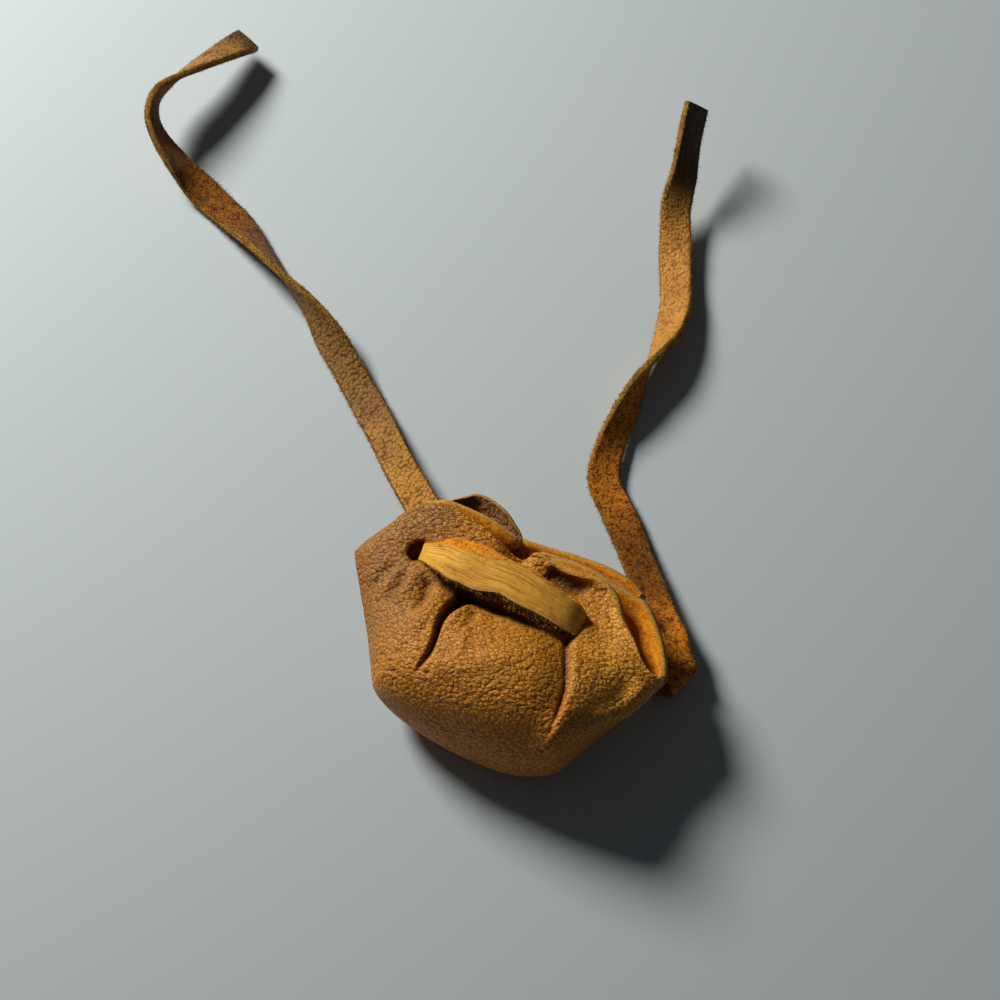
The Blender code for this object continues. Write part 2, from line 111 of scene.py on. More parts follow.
# A socket in a material's nodes. Sums and products of these add the Math nodes that work them out.
class Wire:
    def __init__(self, tree, socket=None):
        self.tree = tree
        self.socket = socket

    # Any node: its type, its settings, the values or links of its sockets, and which output goes on.
    def node(self, kind, settings, values, out=0):
        made = self.tree.nodes.new("ShaderNode" + kind)
        for name, value in settings.items():
            setattr(made, name, value)
        for name, value in values.items():
            if isinstance(value, Wire):
                self.tree.links.new(value.socket, made.inputs[name])
            else:
                made.inputs[name].default_value = value
        return Wire(self.tree, made.outputs[out])

    def maths(self, operation, first, second):
        return self.node("Math", {"operation": operation}, {0: first, 1: second})

    def __add__(self, other):
        return self.maths("ADD", self, other)

    def __sub__(self, other):
        return self.maths("SUBTRACT", self, other)

    def __rsub__(self, other):
        return self.maths("SUBTRACT", other, self)

    def __mul__(self, other):
        return self.maths("MULTIPLY", self, other)

    # Values from low to high are spread smoothly from 0 to 1.
    def between(self, low, high):
        values = {"Value": self, "From Min": low, "From Max": high}
        return self.node("MapRange", {"interpolation_type": "SMOOTHSTEP"}, values)

    # Colour: the first where this value is 0, the second where it is 1; 6, 7 and 2 are colour sockets.
    def blend(self, first, second):
        ends = [colour if isinstance(colour, Wire) else (*colour, 1.0) for colour in (first, second)]
        return self.node("Mix", {"data_type": "RGBA"}, {0: self, 6: ends[0], 7: ends[1]}, out=2)

    def vectorMaths(self, operation, other):
        return self.node("VectorMath", {"operation": operation}, {0: self, 1: other})

    # Vector or colour: each part times its own factor.
    def stretched(self, factors):
        return self.vectorMaths("MULTIPLY", factors)

    # Vector: moved by noise of one size, by up to half the reach each way.
    def shaken(self, size, reach):
        cloud = self.node("TexNoise", {}, {"Vector": self, "Scale": 1 / size, "Detail": 2.0}, out="Color")
        centred = cloud.vectorMaths("SUBTRACT", (0.5, 0.5, 0.5))
        return self.vectorMaths("ADD", centred.stretched((reach, reach, reach)))

    def noise(self, size, detail=3.0, rough=0.55):
        values = {"Vector": self, "Scale": 1 / size, "Detail": detail, "Roughness": rough}
        return self.node("TexNoise", {}, values)

    # Noise drawn out along a UV map.
    def streaks(self, length, width):
        return self.stretched((1 / length, 1 / width, 0.0)).noise(1.0, detail=2.0, rough=0.6)

    # Round bumps of one size: 1 in the middle of each, falling with the square of the distance from it.
    def domes(self, size, steepness=1.7):
        away = self.node("TexVoronoi", {"feature": "F1"}, {"Vector": self, "Scale": 1 / size})
        return 1.0 - away * away * steepness

    # 0 on the lines between the same bumps, rising to about 0.5 inside them.
    def cells(self, size):
        return self.node("TexVoronoi", {"feature": "DISTANCE_TO_EDGE"}, {"Vector": self, "Scale": 1 / size})

    # One coordinate of a vector.
    def along(self, axis):
        return self.node("SeparateXYZ", {}, {0: self}, out=axis)

    def coordinates(self, sort):
        return self.node("TexCoord", {}, {}, out=sort)


def newMaterial(name):
    material = bpy.data.materials.new(name)
    material.use_nodes = True
    return material, material.node_tree.nodes["Principled BSDF"], Wire(material.node_tree)


# Puts a colour and a relief on a shader. The higher the relief, the more the roughness falls.
def dress(shader, wire, look, colour, height):
    roughness = look["rough"] - height * look["polish"]
    relief = {"Height": height, "Distance": look["depth"], "Strength": look["bump"]}
    bump = wire.node("Bump", {}, relief)
    for name, value in (("Base Color", colour), ("Roughness", roughness), ("Normal", bump)):
        wire.tree.links.new(value.socket, shader.inputs[name])
    shader.inputs["Specular IOR Level"].default_value = look["gloss"]
    shader.inputs["Sheen Weight"].default_value = look["sheen"]


# Darkening along a lace: each stretch darkens the colour to a share of itself, smoothly from its first place
# to its second, and may clear again from its third place to its fourth.
def darkening(colour, along, stretches):
    for share, start, full, *clears in stretches:
        darkened = along.between(start, full)
        if clears:
            late, end = clears
            darkened = darkened * along.between(end, late)
        colour = darkened.blend(colour, colour.stretched((share, share, share)))
    return colour


# A zone is a colour, its share, and the places across and along the pouch between which it comes in.
pebbledGrain = {
    "pebble": 0.80 * mm, "small": 0.42 * mm, "fine": 0.20 * mm, "heights": (0.58, 0.28, 0.14),
    "stretch": (0.82, 1.15, 1.0), "shakes": ((2.4 * mm, 1.1 * mm), (0.7 * mm, 0.30 * mm)),
    "gold": (0.66, 0.276, 0.020), "brown": (0.58, 0.230, 0.013),
    "patch": 7.0 * mm, "patchRange": (0.36, 0.66), "blotch": 11 * mm, "blotchReach": 12 * mm,
    "zones": (
        # Painted shade over the upper left, in an olive darker than the gold.
        ((0.34, 0.147, 0.018), 0.80, (-8 * mm, -18 * mm), (-18 * mm, -5 * mm)),  # olive, upper left
        # Painted light over the right facet, in a brighter gold.
        ((0.88, 0.405, 0.044), 0.75, (10 * mm, 17 * mm), (-14 * mm, -6 * mm)),  # bright gold, right
        # Painted light over the shaded bottom, in an orange a little lighter than the gold.
        ((0.78, 0.280, 0.018), 0.75, None, (-11 * mm, -22 * mm)),  # umber, bottom
    ),
    "gap": (0.42, 0.31, 0.20), "gapWidth": 0.20, "gapShare": 0.7, "smallRange": (0.2, 0.6),
    # The colour's share where the painted shade of the fold attribute is deepest.
    "fold": (0.10, 0.07, 0.05),
    "depth": 0.30 * mm, "bump": 0.95, "rough": 0.60, "polish": 0.16, "gloss": 0.28, "sheen": 0.0,
}


# Pebbles are domes, each falling with the square of the distance to the nearest point of a shaken lattice, in
# two sizes and a little longer across the pouch than along it; the lines between them are darker. Slow noise
# moves the colour between brown and gold, zones of painted shade and painted light with blotchy borders lie
# over that, and the fold attribute darkens it with painted shade deep in the creases, under the bridge and
# inside the left pleat.
def grainMaterial(name, look):
    material, shader, wire = newMaterial(name)
    place = wire.coordinates("Object")
    loose = place.stretched(look["stretch"])
    for size, reach in look["shakes"]:
        loose = loose.shaken(size, reach)
    small = loose.domes(look["small"])
    pebbleHeight, smallHeight, fineHeight = look["heights"]
    raised = loose.domes(look["pebble"]) * pebbleHeight + small * smallHeight
    raised = raised + place.noise(look["fine"]) * fineHeight
    patch = place.noise(look["patch"], detail=4.0).between(*look["patchRange"])
    base = patch.blend(look["brown"], look["gold"])
    blotch = (place.noise(look["blotch"]) - 0.5) * look["blotchReach"]
    across = place.along("X") + blotch
    along = place.along("Y") + blotch
    for zoneColour, share, acrossEnds, alongEnds in look["zones"]:
        cover = along.between(*alongEnds) * share
        if acrossEnds:
            cover = cover * across.between(*acrossEnds)
        base = cover.blend(base, zoneColour)
    inside = loose.cells(look["pebble"]).between(0.0, look["gapWidth"]) * look["gapShare"]
    inside = inside + small.between(*look["smallRange"]) * (1 - look["gapShare"])
    colour = inside.blend(base.stretched(look["gap"]), base)
    # Painted shade: the fold attribute darkens the colour in creases, under the bridge and in the left pleat.
    fold = wire.node("Attribute", {"attribute_name": "fold"}, {}, out="Fac")
    colour = fold.blend(colour, colour.stretched(look["fold"]))
    dress(shader, wire, look, colour, raised)
    return material


suedeBack = {
    "tuft": 0.40 * mm, "clump": 1.1 * mm, "tuftShare": 0.66, "shake": (1.0 * mm, 0.5 * mm),
    "orange": (0.93, 0.315, 0.009), "deep": (0.46, 0.135, 0.005), "pale": (0.95, 0.40, 0.022),
    "napRange": (0.38, 0.58), "tipRange": (0.58, 0.74), "darkening": (),
    "depth": 0.50 * mm, "bump": 1.0, "rough": 0.97, "polish": 0.08, "gloss": 0.10, "sheen": 0.10,
}


# Nap: fine noise over clumps of coarser noise; hollows are deep brown, tufts orange, and a few tips pale. A
# lace's suede may be darkened along its UV map, which on the right tail is painted shade.
def suedeMaterial(name, look):
    material, shader, wire = newMaterial(name)
    loose = wire.coordinates("Object").shaken(*look["shake"])
    tuft = loose.noise(look["tuft"], detail=4.0, rough=0.7)
    nap = tuft * look["tuftShare"] + loose.noise(look["clump"]) * (1 - look["tuftShare"])
    tufts = tuft.between(*look["tipRange"]).blend(look["orange"], look["pale"])
    colour = nap.between(*look["napRange"]).blend(look["deep"], tufts)
    if look["darkening"]:
        colour = darkening(colour, wire.coordinates("UV").along("X"), look["darkening"])
    dress(shader, wire, look, colour, nap)
    return material


cutLeather = {
    "fibre": 0.28 * mm, "broad": 3.0 * mm, "fibreShare": 0.8, "shake": (0.7 * mm, 0.5 * mm),
    "pale": (0.80, 0.42, 0.048), "dull": (0.36, 0.150, 0.010), "paleRange": (0.42, 0.58), "darkening": (),
    "depth": 0.30 * mm, "bump": 1.0, "rough": 0.94, "polish": 0.06, "gloss": 0.12, "sheen": 0.10,
}


# Cut fibres: very fine noise on shaken coordinates with a little broad noise, pale where it is high and dull
# in between. A lace's edge may be darkened along its UV map, which on the bridge's lower edge is painted
# shade.
def cutMaterial(name, look):
    material, shader, wire = newMaterial(name)
    place = wire.coordinates("Object")
    fibre = place.shaken(*look["shake"]).noise(look["fibre"], detail=4.0, rough=0.7)
    mixed = fibre * look["fibreShare"] + place.noise(look["broad"]) * (1 - look["fibreShare"])
    colour = mixed.between(*look["paleRange"]).blend(look["dull"], look["pale"])
    if look["darkening"]:
        colour = darkening(colour, wire.coordinates("UV").along("X"), look["darkening"])
    dress(shader, wire, look, colour, fibre)
    return material


laceGrain = {
    "pebble": 0.80 * mm, "shake": (1.6 * mm, 0.7 * mm), "fine": 0.18 * mm, "fineShare": 0.20,
    "crease": (6.0 * mm, 0.34 * mm), "thinner": (1.7, 2.6), "broadShare": 0.55, "creaseRange": (0.30, 0.66),
    "creased": 0.35, "patch": 5.0 * mm, "patchRange": (0.35, 0.65), "topRange": (0.16, 0.66),
    "gold": (0.56, 0.245, 0.026), "brown": (0.42, 0.175, 0.016), "gap": (0.48, 0.36, 0.26),
    "darkening": (), "ragged": 3.0 * mm, "raggedReach": 8 * mm,
    "depth": 0.26 * mm, "bump": 0.85, "rough": 0.66, "polish": 0.16, "gloss": 0.26, "sheen": 0.0,
}


# The lace's grain: small domed pebbles on Object coordinates, crossed by fine creases that run along the
# lace, which are two sizes of noise on its own UV map (metres along and across) drawn out lengthwise. Slow
# noise moves the colour between brown and gold, and darkening along the same map has ragged ends; on the
# right tail's tip it is painted shade.
def laceMaterial(name, look):
    material, shader, wire = newMaterial(name)
    place = wire.coordinates("Object")
    onLace = wire.coordinates("UV")
    pebble = place.shaken(*look["shake"]).domes(look["pebble"])
    length, width = look["crease"]
    shorter, narrower = look["thinner"]
    broad = onLace.streaks(length, width).between(*look["creaseRange"])
    thin = onLace.streaks(length / shorter, width / narrower).between(*look["creaseRange"])
    crease = broad * look["broadShare"] + thin * (1 - look["broadShare"])
    coarse = 1 - look["fineShare"]
    raised = pebble * (coarse * (1 - look["creased"])) + crease * (coarse * look["creased"])
    raised = raised + place.noise(look["fine"]) * look["fineShare"]
    patch = place.noise(look["patch"]).between(*look["patchRange"])
    base = patch.blend(look["brown"], look["gold"])
    colour = raised.between(*look["topRange"]).blend(base.stretched(look["gap"]), base)
    if look["darkening"]:
        ragged = onLace.along("X") + (place.noise(look["ragged"]) - 0.5) * look["raggedReach"]
        colour = darkening(colour, ragged, look["darkening"])
    dress(shader, wire, look, colour, raised)
    return material


grain = grainMaterial("pebbledGrain", pebbledGrain)
suede = suedeMaterial("suedeBack", suedeBack)
tailSuede = {
    **suedeBack, "orange": (0.78, 0.255, 0.010), "deep": (0.090, 0.024, 0.003), "pale": (0.90, 0.36, 0.030),
}
# The right tail's suede darkens from 34 to 48 mm along and clears from 54 to 68 mm: painted shade on its side
# away from the light. The left tail's darkens from 34 to 50 mm and stays so.
leftSuede = suedeMaterial("leftSuede", {**tailSuede, "darkening": ((0.38, 34 * mm, 50 * mm),)})
rightSuede = suedeMaterial("rightSuede", {**tailSuede, "darkening": ((0.36, 34 * mm, 48 * mm, 54 * mm, 68 * mm),)})
cutEdge = cutMaterial("cutLeather", cutLeather)
# The bridge's lower cut edge: a darker copy of the cut leather, darker still from 15 to 22 mm along and on, as
# painted shade on the edge that faces away from the light.
paintedShadeEdge = cutMaterial("paintedShadeEdge", {
    **cutLeather, "pale": (0.60, 0.280, 0.030), "dull": (0.15, 0.055, 0.005),
    "darkening": ((0.22, 15 * mm, 22 * mm),),
})
tailEdge = cutMaterial("tailEdge", {**cutLeather, "pale": (0.50, 0.245, 0.028), "dull": (0.13, 0.052, 0.005)})
# The left tail's grain darkens from 26 to 52 mm along, and again from 145 to 151 mm.
leftGrain = laceMaterial("leftGrain", {
    **laceGrain, "pebble": 0.66 * mm, "gold": (0.68, 0.315, 0.040), "brown": (0.48, 0.215, 0.022),
    "darkening": ((0.44, 26 * mm, 52 * mm), (0.35, 145 * mm, 151 * mm)),
})
# The right tail's grain darkens from 124 to 136 mm along: painted shade on its lifted tip, which faces away
# from the light.
rightGrain = laceMaterial("rightGrain", {
    **laceGrain, "pebble": 0.62 * mm, "gap": (0.66, 0.56, 0.46), "darkening": ((0.14, 124 * mm, 136 * mm),),
})
bridgeGrain = laceMaterial("bridgeGrain", {
    **laceGrain, "creased": 0.85, "crease": (12.0 * mm, 0.20 * mm), "depth": 0.16 * mm,
    "gold": (0.97, 0.495, 0.060), "brown": (0.80, 0.375, 0.036), "gap": (0.46, 0.38, 0.28),
})
print("leather materials made")


# From 0 to 1 with no slope at either end: three times the square less twice the cube.
def smoothStep(value):
    share = np.clip(value, 0.0, 1.0)
    return share * share * (3.0 - 2.0 * share)


# The same rise from a start, over a length.
def ease(value, start, length):
    return smoothStep((value - start) / length)


# A quarter circle that rises steeply from 0 and levels out at 1.
def quarterRound(value):
    return np.sqrt(1 - (1 - np.clip(value, 0, 1)) ** 2)


def unit(vectors):
    given = np.asarray(vectors, float)
    return given / np.linalg.norm(given, axis=-1, keepdims=True)


# Catmull-Rom curve through the points, the given number of steps in each span.
def curveThrough(points, steps):
    given = np.asarray(points, float)
    ends = np.vstack([2 * given[0] - given[1], given, 2 * given[-1] - given[-2]])
    share = np.linspace(0.0, 1.0, steps, endpoint=False)[None, :, None]
    before, start, end, after = (ends[k:len(ends) - 3 + k, None, :] for k in range(4))
    slope = end - before
    bend = 2 * before - 5 * start + 4 * end - after
    twist = 3 * start - 3 * end + after - before
    spans = 0.5 * (2 * start + slope * share + bend * share ** 2 + twist * share ** 3)
    return np.vstack([spans.reshape(-1, given.shape[1]), given[-1:]])


def lengthsAlong(points):
    return np.concatenate([[0.0], np.cumsum(np.linalg.norm(np.diff(points, axis=0), axis=1))])


# Evenly spaced points along a line, without its last one.
def evenly(points, count):
    along = lengthsAlong(points)
    at = np.linspace(0.0, along[-1], count, endpoint=False)
    return np.stack([np.interp(at, along, points[:, k]) for k in range(points.shape[1])], axis=1)


# A smooth line through chance values between -1 and 1, the same on every run.
def wander(count, knots, seed):
    values = np.random.default_rng(seed).uniform(-1.0, 1.0, (knots, 1))
    line = curveThrough(values, steps=12)[:, 0]
    return np.interp(np.linspace(0, 1, count), np.linspace(0, 1, len(line)), line)


# Quads of a grid whose columns close on themselves.
def tubeFaces(rows, columns):
    lower = np.arange(rows - 1)[:, None] * columns
    upper = lower + columns
    here = np.arange(columns)[None, :]
    after = (here + 1) % columns
    return np.stack([lower + here, lower + after, upper + after, upper + here], axis=-1).reshape(-1, 4)


# Triangles from one middle point to every step of a ring, from a point to the one after it.
def fanFaces(middle, ring, after):
    return np.stack([np.full(len(ring), middle), ring, after], axis=1)


def putMesh(name, points, faces, kinds, materials, uv=None, sharp=None):
    mesh = bpy.data.meshes.new(name)
    mesh.from_pydata(points.tolist(), [], faces)
    for material in materials:
        mesh.materials.append(material)
    mesh.polygons.foreach_set("material_index", np.asarray(kinds, np.int32))
    if uv is not None:
        corners = np.empty(len(mesh.loops), np.int32)
        mesh.loops.foreach_get("vertex_index", corners)
        mesh.uv_layers.new(name="lace").data.foreach_set("uv", uv[corners].astype(np.float32).ravel())
    mesh.shade_smooth()
    if sharp:
        mesh.set_sharp_from_angle(angle=np.radians(sharp))
    mesh.update()
    made = bpy.data.objects.new(name, mesh)
    scene.collection.objects.link(made)
    return made


# Every strip of lace. The profile's places go across and through it, from -1 to 1; the knots are of the
# chance lines for its width, its drift and its cup.
lace = {
    "width": 6.0 * mm, "thickness": 1.3 * mm, "tableGap": 0.25 * mm,
    "steps": 12, "foldSteps": 17, "sharpAngle": 62,
    "flatPoints": 11, "flatHalf": 0.93, "edge": ((0.985, 0.62), (1.0, 0.0), (0.985, -0.62)),
    "wobble": 0.05, "chanceKnots": (26, 22, 16), "cupMiddle": 0.35,
    "leanFrom": 0.60, "leanReach": 0.25, "leanLift": 0.35,
    "fibre": 0.85 * mm, "fibreFoot": 0.11 * mm, "fibresPerMetre": 30000,
    "fibreLean": 0.75, "fibreShortest": 0.3, "fibreBias": 1.5,
}
# The last material of a strip, the darker cut edge, is painted shade on the bridge's lower edge.
grainSide, suedeSide, cutSide, paintedShadeSide = range(4)  # places in a strip's list of materials
# A tail's route: middle points, from its slit in x and y and from the table in z, and the grain's facings.
leftTail = {
    "exit": (-0.0218, 0.01865, 0.0040), "way": (-0.735, 0.678), "inside": 0.0230, "seed": 3, "cup": 0.20 * mm,
    "grain": leftGrain, "suede": leftSuede,
    "route": (
        ((-0.0080, 0.0077, 0.0033), (0.00, 0.00, 1.00)), ((-0.0134, 0.0132, 0.0021), (0.00, 0.00, 1.00)),
        ((-0.0189, 0.0187, 0.0008), (0.00, 0.00, 1.00)), ((-0.0252, 0.0242, 0.0015), (-0.27, -0.10, 0.96)),
        ((-0.0307, 0.0289, 0.0027), (-0.55, -0.47, 0.68)), ((-0.0357, 0.0325, 0.0032), (-0.68, -0.71, 0.18)),
        ((-0.0417, 0.0362, 0.0032), (-0.61, -0.75, -0.25)), ((-0.0487, 0.0410, 0.0028), (-0.44, -0.64, -0.63)),
        ((-0.0547, 0.0450, 0.0017), (-0.20, -0.27, -0.94)), ((-0.0617, 0.0485, 0.0008), (0.00, 0.00, -1.00)),
        ((-0.0667, 0.0509, 0.0018), (-0.18, -0.07, -0.98)), ((-0.0707, 0.0527, 0.0041), (-0.49, -0.39, -0.78)),
        ((-0.0747, 0.0550, 0.0062), (-0.74, -0.47, -0.48)), ((-0.0777, 0.0582, 0.0080), (-0.92, -0.34, -0.20)),
        ((-0.0787, 0.0630, 0.0088), (-0.96, 0.20, 0.21)), ((-0.0767, 0.0684, 0.0083), (-0.74, 0.35, 0.58)),
        ((-0.0737, 0.0747, 0.0069), (-0.42, 0.33, 0.84)), ((-0.0712, 0.0800, 0.0053), (-0.14, 0.22, 0.92)),
        ((-0.0694, 0.0840, 0.0039), (0.10, 0.15, 0.94)),
    ),
}
rightTail = {
    "exit": (0.0275, 0.00365, 0.0026), "way": (1.0, 0.0), "inside": 0.0220, "seed": 8, "cup": 0.16 * mm,
    "grain": rightGrain, "suede": rightSuede,
    "foldReach": 0.0025, "foldLeaves": (-0.66, 0.75), "foldGap": 0.0006, "foldRun": 0.0030,
    "route": (
        ((-0.0007, 0.0070, 0.0043), (0.00, 0.00, -1.00)), ((-0.0030, 0.0098, 0.0033), (0.00, 0.00, -1.00)),
        ((-0.0055, 0.0130, 0.0026), (0.00, 0.00, -1.00)), ((-0.0090, 0.0177, 0.0020), (0.00, 0.00, -1.00)),
        ((-0.0135, 0.0235, 0.0011), (0.00, 0.00, -1.00)), ((-0.0180, 0.0285, 0.0008), (0.00, 0.00, -1.00)),
        ((-0.0215, 0.0325, 0.0013), (-0.18, -0.07, -0.98)), ((-0.0225, 0.0375, 0.0020), (-0.44, 0.05, -0.90)),
        ((-0.0225, 0.0430, 0.0025), (-0.64, 0.07, -0.77)), ((-0.0220, 0.0487, 0.0031), (-0.87, 0.10, -0.49)),
        ((-0.0215, 0.0540, 0.0032), (-0.99, 0.07, -0.10)), ((-0.0205, 0.0595, 0.0031), (-0.92, -0.03, 0.39)),
        ((-0.0200, 0.0650, 0.0026), (-0.62, -0.02, 0.78)), ((-0.0205, 0.0710, 0.0020), (-0.41, -0.04, 0.91)),
        ((-0.0220, 0.0765, 0.0017), (-0.27, -0.10, 0.96)), ((-0.0239, 0.0815, 0.0018), (-0.18, -0.07, 0.98)),
        ((-0.0255, 0.0865, 0.0028), (0.00, 0.00, 1.00)), ((-0.0270, 0.0915, 0.0045), (0.33, -0.08, 0.94)),
        ((-0.0275, 0.0970, 0.0066), (0.64, -0.07, 0.77)), ((-0.0285, 0.1030, 0.0092), (0.74, -0.04, 0.68)),
        ((-0.0293, 0.1090, 0.0114), (0.74, -0.04, 0.68)),
    ),
}


# Centres, grain directions and half widths of a strip along a smooth curve. Each grain direction is turned
# square to the curve, and the strip's width goes square to both.
def stripSections(points, facings, widths):
    centre = curveThrough(points, lace["steps"])
    facing = curveThrough(facings, lace["steps"])
    width = curveThrough(np.asarray(widths, float)[:, None], lace["steps"])
    tangent = unit(np.gradient(centre, axis=0))
    facing = unit(facing - (facing * tangent).sum(axis=1, keepdims=True) * tangent)
    return centre, facing, np.cross(tangent, facing) * width / 2


def laceSections(points, facings):
    return stripSections(points, facings, [lace["width"]] * len(points))


# Sections of a strip that turns over on a slanting crease: they lie along the crease and turn half round it.
def foldSections(start, way, leaves, gap):
    crease = unit(way + leaves)
    cosine = float(way @ crease)
    outward = unit(way - cosine * crease)
    sine = float(way @ outward)
    radius = (lace["thickness"] + gap) / 2
    angle = np.linspace(0.0, np.pi, lace["foldSteps"])[:, None]
    centre = start + crease * radius * angle * cosine / sine
    centre = centre + radius * (np.sin(angle) * outward + (1 - np.cos(angle)) * up)
    facing = np.cos(angle) * up - np.sin(angle) * outward
    slanting = crease * np.sign(crease @ np.cross(way, up)) * lace["width"] / 2 / sine
    return centre, facing, np.broadcast_to(slanting, centre.shape)


# The cross-section of the lace: a flat oblong with rounded cut edges, and the material of each of its sides.
def laceProfile(leftKind, rightKind):
    flat = np.linspace(-lace["flatHalf"], lace["flatHalf"], lace["flatPoints"])
    top = np.stack([flat, np.ones_like(flat)], axis=1)
    edge = np.array(lace["edge"])
    sides = [len(top) - 1, len(edge) + 1] * 2
    kinds = np.repeat((grainSide, rightKind, suedeSide, leftKind), sides)
    return np.vstack([top, edge, -top, -edge]), kinds


# The profile carried along the sections. Slow chance lines vary its width, drift it sideways and cup it
# across with the square of the place, and its cut edges may lean, so that they show from the grain side.
def laceRings(sections, profile, look):
    centre, facing, sideways = sections
    along = lengthsAlong(centre)
    across, through = profile[None, :, 0], profile[None, :, 1]
    for side, lean in zip((-1, 1), look.get("leans", ())):
        share = np.interp(along / along[-1], *np.transpose(lean))[:, None]
        atEdge = np.clip((side * across - lace["leanFrom"]) / lace["leanReach"], 0, 1)
        across = across - side * share * atEdge * (through + lace["leanLift"])
    seeds = range(look["seed"], look["seed"] + 3)
    chances = [wander(len(along), knots, seed)[:, None] for knots, seed in zip(lace["chanceKnots"], seeds)]
    half = 1 + lace["wobble"] * chances[0]
    drift = lace["wobble"] * chances[1]
    cup = look["cup"] * chances[2]
    offset = across * half + drift
    rise = through * lace["thickness"] / 2 - cup * (across ** 2 - lace["cupMiddle"])
    return centre[:, None] + sideways[:, None] * offset[..., None] + facing[:, None] * rise[..., None]


# Loose fibres: thin three-sided spikes that stand on given places and lean by chance, the same every run.
def fibres(places, outward, first, seed):
    chance = np.random.default_rng(seed)
    count = len(places)
    foot = lace["fibreFoot"]
    way = unit(outward + lace["fibreLean"] * chance.normal(size=(count, 3)))
    side = unit(np.cross(way, chance.normal(size=(count, 3))))
    angle = np.radians((90.0, 210.0, 330.0))[None, :, None]
    spokes = side[:, None] * np.cos(angle) + np.cross(way, side)[:, None] * np.sin(angle)
    feet = (places - way * foot)[:, None] + foot / 2 * spokes
    lengths = lace["fibre"] * chance.uniform(lace["fibreShortest"], 1.0, (count, 1)) ** lace["fibreBias"]
    tips = places + way * lengths
    points = np.concatenate([feet, tips[:, None]], axis=1).reshape(-1, 3)
    corners = np.array(((0, 1, 3), (1, 2, 3), (2, 0, 3), (2, 1, 0)))
    faces = (first + 4 * np.arange(count)[:, None, None] + corners).reshape(-1, 3)
    points[:, 2] = np.maximum(points[:, 2], lace["tableGap"] / 3)
    return points, faces


# Fibres at chance places on both cut edges. Half of a ring is one flat side and the edge that follows it.
def edgeFibres(rings, along, sideways, first, seed):
    chance = np.random.default_rng(seed)
    count = int(lace["fibresPerMetre"] * along[-1])
    size = rings.shape[1]
    rows = np.searchsorted(along, chance.uniform(0.0, along[-1], count)) - 1
    right = chance.random(count) < 0.5
    spots = chance.integers(lace["flatPoints"] - 1, size // 2 + 1, count)
    spots = np.where(right, spots, (spots + size // 2) % size)
    part = chance.random((count, 1))
    places = rings[rows, spots] * (1 - part) + rings[rows + 1, spots] * part
    outward = unit(sideways)[rows] * np.where(right, 1.0, -1.0)[:, None]
    return fibres(places, outward, first, seed + 1)


# A strip of lace: rings joined by quads, both ends closed on a middle point, and fibres along both edges.
def laceStrip(name, sections, look, materials):
    profile, sideKinds = laceProfile(look.get("leftKind", cutSide), look.get("rightKind", cutSide))
    rings = laceRings(sections, profile, look)
    along = lengthsAlong(sections[0])
    count, size = rings.shape[:2]
    points = np.vstack([rings.reshape(-1, 3), rings[0].mean(axis=0), rings[-1].mean(axis=0)])
    spikes, spikeFaces = edgeFibres(rings, along, sections[2], len(points), look["seed"] + 3)
    ring = np.arange(size)
    after = (ring + 1) % size
    last = (count - 1) * size
    startCap = fanFaces(count * size, after, ring)
    endCap = fanFaces(count * size + 1, last + ring, last + after)
    faces = tubeFaces(count, size).tolist() + np.vstack([startCap, endCap, spikeFaces]).tolist()
    kinds = np.append(np.tile(sideKinds, count - 1), np.full(2 * size + len(spikeFaces), cutSide))
    uv = np.stack([np.repeat(along, size), np.tile(profile[:, 0] * lace["width"] / 2, count)], axis=1)
    uv = np.vstack([uv, (0.0, 0.0), (along[-1], 0.0), np.zeros((len(spikes), 2))])
    return putMesh(name, np.vstack([points, spikes]), faces, kinds, materials, uv, lace["sharpAngle"])


# A tail runs straight from its inner end to its slit, turns over where it has a fold, and follows its route.
def tailSections(look):
    way = unit((*look["way"], 0.0))
    outside = np.array(look["exit"])
    inner = outside - look["inside"] * way
    start = [inner, (inner + outside) / 2, outside]
    points = [(outside[0] + x, outside[1] + y, z + lace["tableGap"]) for (x, y, z), _ in look["route"]]
    facings = [facing for _, facing in look["route"]]
    if "foldReach" not in look:
        return laceSections(start + points, [facings[0]] * len(start) + facings)
    leaves = unit((*look["foldLeaves"], 0.0))
    lower = laceSections(start, [up] * len(start))
    fold = foldSections(outside + look["foldReach"] * way, way, leaves, look["foldGap"])
    upper = laceSections([fold[0][-1] + look["foldRun"] * leaves] + points, [facings[0]] + facings)
    return tuple(np.vstack(parts) for parts in zip(lower, fold, upper))


def makeTail(name, look, body, node):
    sections = tailSections(look)
    tail = laceStrip(name, sections, look, [look["grain"], look["suede"], tailEdge])
    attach(tail, body)
    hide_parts(node)
    print(name, "made,", round(1000 * lengthsAlong(sections[0])[-1], 1), "mm long")


makeTail("leftTail", leftTail, "left_tail", "lace_tail_left")
makeTail("rightTail", rightTail, "right_tail", "lace_tail_right")

